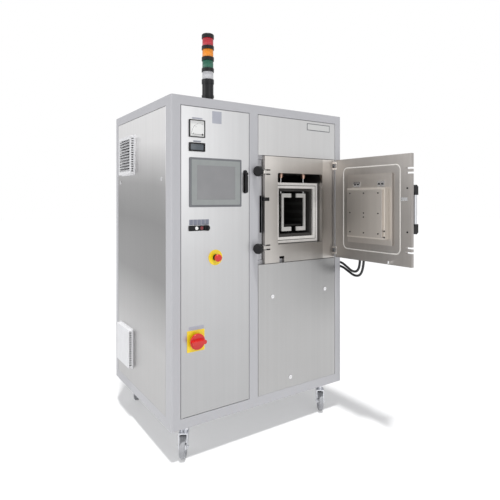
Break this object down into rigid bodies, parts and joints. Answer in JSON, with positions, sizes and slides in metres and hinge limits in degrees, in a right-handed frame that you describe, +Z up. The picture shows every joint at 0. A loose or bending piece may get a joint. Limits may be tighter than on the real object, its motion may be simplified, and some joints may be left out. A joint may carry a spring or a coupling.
{
  "type": "vacuum retort furnace",
  "caption": "Vacuum retort furnace on castors: water-cooled vessel with felt-lined hot zone behind a clamped swing door, control door with touch panel, signal tower.",
  "frame": {"origin": "middle of the part's footprint, on the floor under the castor wheels, with the vessel door open at rest", "axes": "+Z up; -Y towards the operator in front of the doors; +X to the operator's right, towards the vessel door's hinges"},
  "size_m": [1.308, 1.6121, 2.399],
  "materials": {
    "frame_paint": "satin light blue-grey powder coat",
    "panel_steel": "brushed stainless sheet",
    "side_steel": "brushed stainless sheet, vertical grain",
    "zinc_sheet": "plain zinc-coated sheet",
    "flange_steel": "ground stainless plate",
    "door_steel": "ground stainless plate",
    "vessel_steel": "stainless sheet, heat-tinted inside",
    "case_board": "light grey insulating board",
    "felt": "dark carbon felt",
    "heater_metal": "dull refractory metal",
    "copper": "machined copper",
    "hearth_metal": "dull refractory metal",
    "pump_paint": "painted castings",
    "fitting_brass": "nickel-plated brass",
    "control_plastic": "grey ducts and device housings",
    "filter_plastic": "light grey moulded plastic",
    "fan_plastic": "black moulded plastic",
    "black_plastic": "black moulded plastic",
    "lock_chrome": "chrome-plated zinc",
    "lamp_lenses": "ribbed lenses: white, green, amber and red",
    "zinc_steel": "bright zinc-plated steel",
    "wheel_rubber": "dark grey tread on a pressed rim",
    "seal_rubber": "pale silicone ring",
    "plug_steel": "sheet-covered insulation block, warm grey",
    "handle_mix": "anodised tube in black end brackets",
    "key_steel": "stainless stamping",
    "clamp_steel": "machined steel",
    "knob_plastic": "black fluted thermoset",
    "door_sheet": "brushed stainless sheet",
    "hmi_plastic": "grey bezel round a dark screen",
    "instrument_case": "black bezels, white scale",
    "pointer_metal": "black enamel",
    "button_black_cap": "black",
    "button_white_cap": "white translucent",
    "button_red_cap": "dark red translucent",
    "yellow_plastic": "yellow",
    "red_plastic": "red",
    "latch_metal": "dark chrome plate",
    "hose_rubber": "black rubber hose"
  },
  "bodies": {
    "cabinet": {"frame": "frame_paint", "roof_panel": "frame_paint", "base_plate": "zinc_sheet", "partition_wall": "zinc_sheet", "left_panel": "side_steel", "right_panel": "side_steel", "rear_panel": "side_steel", "front_panels": "panel_steel", "vessel_flange": "flange_steel", "vessel_shell": "vessel_steel", "insulation_case": "case_board", "felt_lining": "felt", "heating_elements": "heater_metal", "feedthroughs": "copper", "hearth": "hearth_metal", "vacuum_pump_set": "pump_paint", "water_fittings": "fitting_brass", "control_assembly": "control_plastic", "filter_grilles": "filter_plastic", "interlock_switch": "black_plastic", "panel_locks": "lock_chrome", "tower_base": "black_plastic", "tower_lamps": "lamp_lenses", "castor_plates": "zinc_steel", "door_hoses": "hose_rubber"},
    "fan": {"fan_rotor": "fan_plastic"},
    "vessel_door": {"door_plate": "door_steel", "door_seal": "seal_rubber", "door_plug": "plug_steel", "door_handle": "handle_mix", "door_catches": "key_steel"},
    "control_door": {"control_door": "door_sheet", "hmi_panel": "hmi_plastic", "panel_instruments": "instrument_case", "switch_bodies": "black_plastic", "yellow_plates": "yellow_plastic", "latch_base": "latch_metal"},
    "meter_pointer": {"meter_pointer": "pointer_metal"},
    "button_black": {"button_black": "button_black_cap"},
    "button_white": {"button_white": "button_white_cap"},
    "button_red": {"button_red": "button_red_cap"},
    "selector_knob": {"selector_knob": "black_plastic"},
    "estop_head": {"estop_head": "red_plastic"},
    "isolator_knob": {"isolator_knob": "red_plastic"},
    "latch_spindle": {"latch_spindle": "latch_metal"},
    "latch_lever": {"latch_lever": "latch_metal"},
    "fork_front_left": {"castor_fork_front_left": "zinc_steel"},
    "wheel_front_left": {"castor_wheel_front_left": "wheel_rubber"},
    "fork_front_right": {"castor_fork_front_right": "zinc_steel"},
    "wheel_front_right": {"castor_wheel_front_right": "wheel_rubber"},
    "fork_rear_left": {"castor_fork_rear_left": "zinc_steel"},
    "wheel_rear_left": {"castor_wheel_rear_left": "wheel_rubber"},
    "fork_rear_right": {"castor_fork_rear_right": "zinc_steel"},
    "wheel_rear_right": {"castor_wheel_rear_right": "wheel_rubber"},
    "clamp_yoke_lower": {"clamp_yoke_lower": "clamp_steel"},
    "clamp_foot_lower": {"clamp_foot_lower": "clamp_steel"},
    "clamp_knob_lower": {"clamp_knob_lower": "knob_plastic"},
    "clamp_yoke_upper": {"clamp_yoke_upper": "clamp_steel"},
    "clamp_foot_upper": {"clamp_foot_upper": "clamp_steel"},
    "clamp_knob_upper": {"clamp_knob_upper": "knob_plastic"}
  },
  "joints": [
    {"name": "fan_spin", "type": "hinge", "parent": "cabinet", "child": "fan", "pos_m": [-0.626, 0.50888, 1.718], "axis": [1, 0, 0], "continuous": true},
    {"name": "castor_swivel_front_left", "type": "hinge", "parent": "cabinet", "child": "fork_front_left", "pos_m": [-0.508, -0.09812, 0.15], "axis": [0, 0, 1], "continuous": true},
    {"name": "castor_roll_front_left", "type": "hinge", "parent": "fork_front_left", "child": "wheel_front_left", "pos_m": [-0.52925, -0.12962, 0.0625], "axis": [0.829, -0.5592, 0], "continuous": true},
    {"name": "castor_swivel_front_right", "type": "hinge", "parent": "cabinet", "child": "fork_front_right", "pos_m": [0.506, -0.09812, 0.15], "axis": [0, 0, 1], "continuous": true},
    {"name": "castor_roll_front_right", "type": "hinge", "parent": "fork_front_right", "child": "wheel_front_right", "pos_m": [0.48475, -0.12962, 0.0625], "axis": [0.829, -0.5592, 0], "continuous": true},
    {"name": "castor_swivel_rear_left", "type": "hinge", "parent": "cabinet", "child": "fork_rear_left", "pos_m": [-0.508, 0.69588, 0.15], "axis": [0, 0, 1], "continuous": true},
    {"name": "castor_roll_rear_left", "type": "hinge", "parent": "fork_rear_left", "child": "wheel_rear_left", "pos_m": [-0.489, 0.72879, 0.0625], "axis": [-0.866, 0.5, 0], "continuous": true},
    {"name": "castor_swivel_rear_right", "type": "hinge", "parent": "cabinet", "child": "fork_rear_right", "pos_m": [0.506, 0.69588, 0.15], "axis": [0, 0, 1], "continuous": true},
    {"name": "castor_roll_rear_right", "type": "hinge", "parent": "fork_rear_right", "child": "wheel_rear_right", "pos_m": [0.525, 0.72879, 0.0625], "axis": [-0.866, 0.5, 0], "continuous": true},
    {"name": "door_hinge", "type": "hinge", "parent": "cabinet", "child": "vessel_door", "pos_m": [0.57, -0.20112, 1.089], "axis": [0, 0, 1], "range_deg": [-91, 29], "deforming": ["door_hoses"]},
    {"name": "clamp_swing_lower", "type": "hinge", "parent": "cabinet", "child": "clamp_yoke_lower", "pos_m": [-0.006, -0.17412, 1.14], "axis": [0, 0, 1], "range_deg": [0, 60]},
    {"name": "clamp_press_lower", "type": "slide", "parent": "clamp_yoke_lower", "child": "clamp_foot_lower", "axis": [0.866, 0.5, 0], "range_m": [0, 0.0035]},
    {"name": "clamp_turn_lower", "type": "hinge", "parent": "clamp_foot_lower", "child": "clamp_knob_lower", "pos_m": [-0.006, -0.17412, 1.14], "axis": [0.866, 0.5, 0], "range_deg": [0, 722]},
    {"name": "clamp_swing_upper", "type": "hinge", "parent": "cabinet", "child": "clamp_yoke_upper", "pos_m": [-0.006, -0.17412, 1.601], "axis": [0, 0, 1], "range_deg": [0, 60]},
    {"name": "clamp_press_upper", "type": "slide", "parent": "clamp_yoke_upper", "child": "clamp_foot_upper", "axis": [0.866, 0.5, 0], "range_m": [0, 0.0035]},
    {"name": "clamp_turn_upper", "type": "hinge", "parent": "clamp_foot_upper", "child": "clamp_knob_upper", "pos_m": [-0.006, -0.17412, 1.601], "axis": [0.866, 0.5, 0], "range_deg": [0, 722]},
    {"name": "control_door_hinge", "type": "hinge", "parent": "cabinet", "child": "control_door", "pos_m": [-0.56, -0.17912, 0.388], "axis": [0, 0, 1], "range_deg": [-110, 0]},
    {"name": "meter_needle", "type": "hinge", "parent": "control_door", "child": "meter_pointer", "pos_m": [-0.442, -0.18612, 1.793], "axis": [0, 1, 0], "range_deg": [0, 90]},
    {"name": "press_black", "type": "slide", "parent": "control_door", "child": "button_black", "axis": [0, 1, 0], "range_m": [0, 0.003], "stiffness_N_per_m": 300},
    {"name": "press_white", "type": "slide", "parent": "control_door", "child": "button_white", "axis": [0, 1, 0], "range_m": [0, 0.003], "stiffness_N_per_m": 300},
    {"name": "press_red", "type": "slide", "parent": "control_door", "child": "button_red", "axis": [0, 1, 0], "range_m": [0, 0.003], "stiffness_N_per_m": 300},
    {"name": "selector_turn", "type": "hinge", "parent": "control_door", "child": "selector_knob", "pos_m": [-0.416, -0.18612, 1.275], "axis": [0, 1, 0], "range_deg": [-45, 45]},
    {"name": "estop_press", "type": "slide", "parent": "control_door", "child": "estop_head", "axis": [0, 1, 0], "range_m": [0, 0.006]},
    {"name": "isolator_turn", "type": "hinge", "parent": "control_door", "child": "isolator_knob", "pos_m": [-0.481, -0.18612, 0.6555], "axis": [0, 1, 0], "range_deg": [0, 90]},
    {"name": "latch_turn", "type": "hinge", "parent": "control_door", "child": "latch_spindle", "pos_m": [-0.1585, -0.18612, 1.585], "axis": [0, 1, 0], "range_deg": [0, 90]},
    {"name": "latch_lift", "type": "hinge", "parent": "latch_spindle", "child": "latch_lever", "pos_m": [-0.1585, -0.20142, 1.585], "axis": [1, 0, 0], "range_deg": [-40, 0]}
  ],
  "couplings": [
    {"joint": "clamp_turn_lower", "follows": "clamp_press_lower", "rad_per_m": 3590.4},
    {"joint": "clamp_turn_upper", "follows": "clamp_press_upper", "rad_per_m": 3590.4}
  ]
}
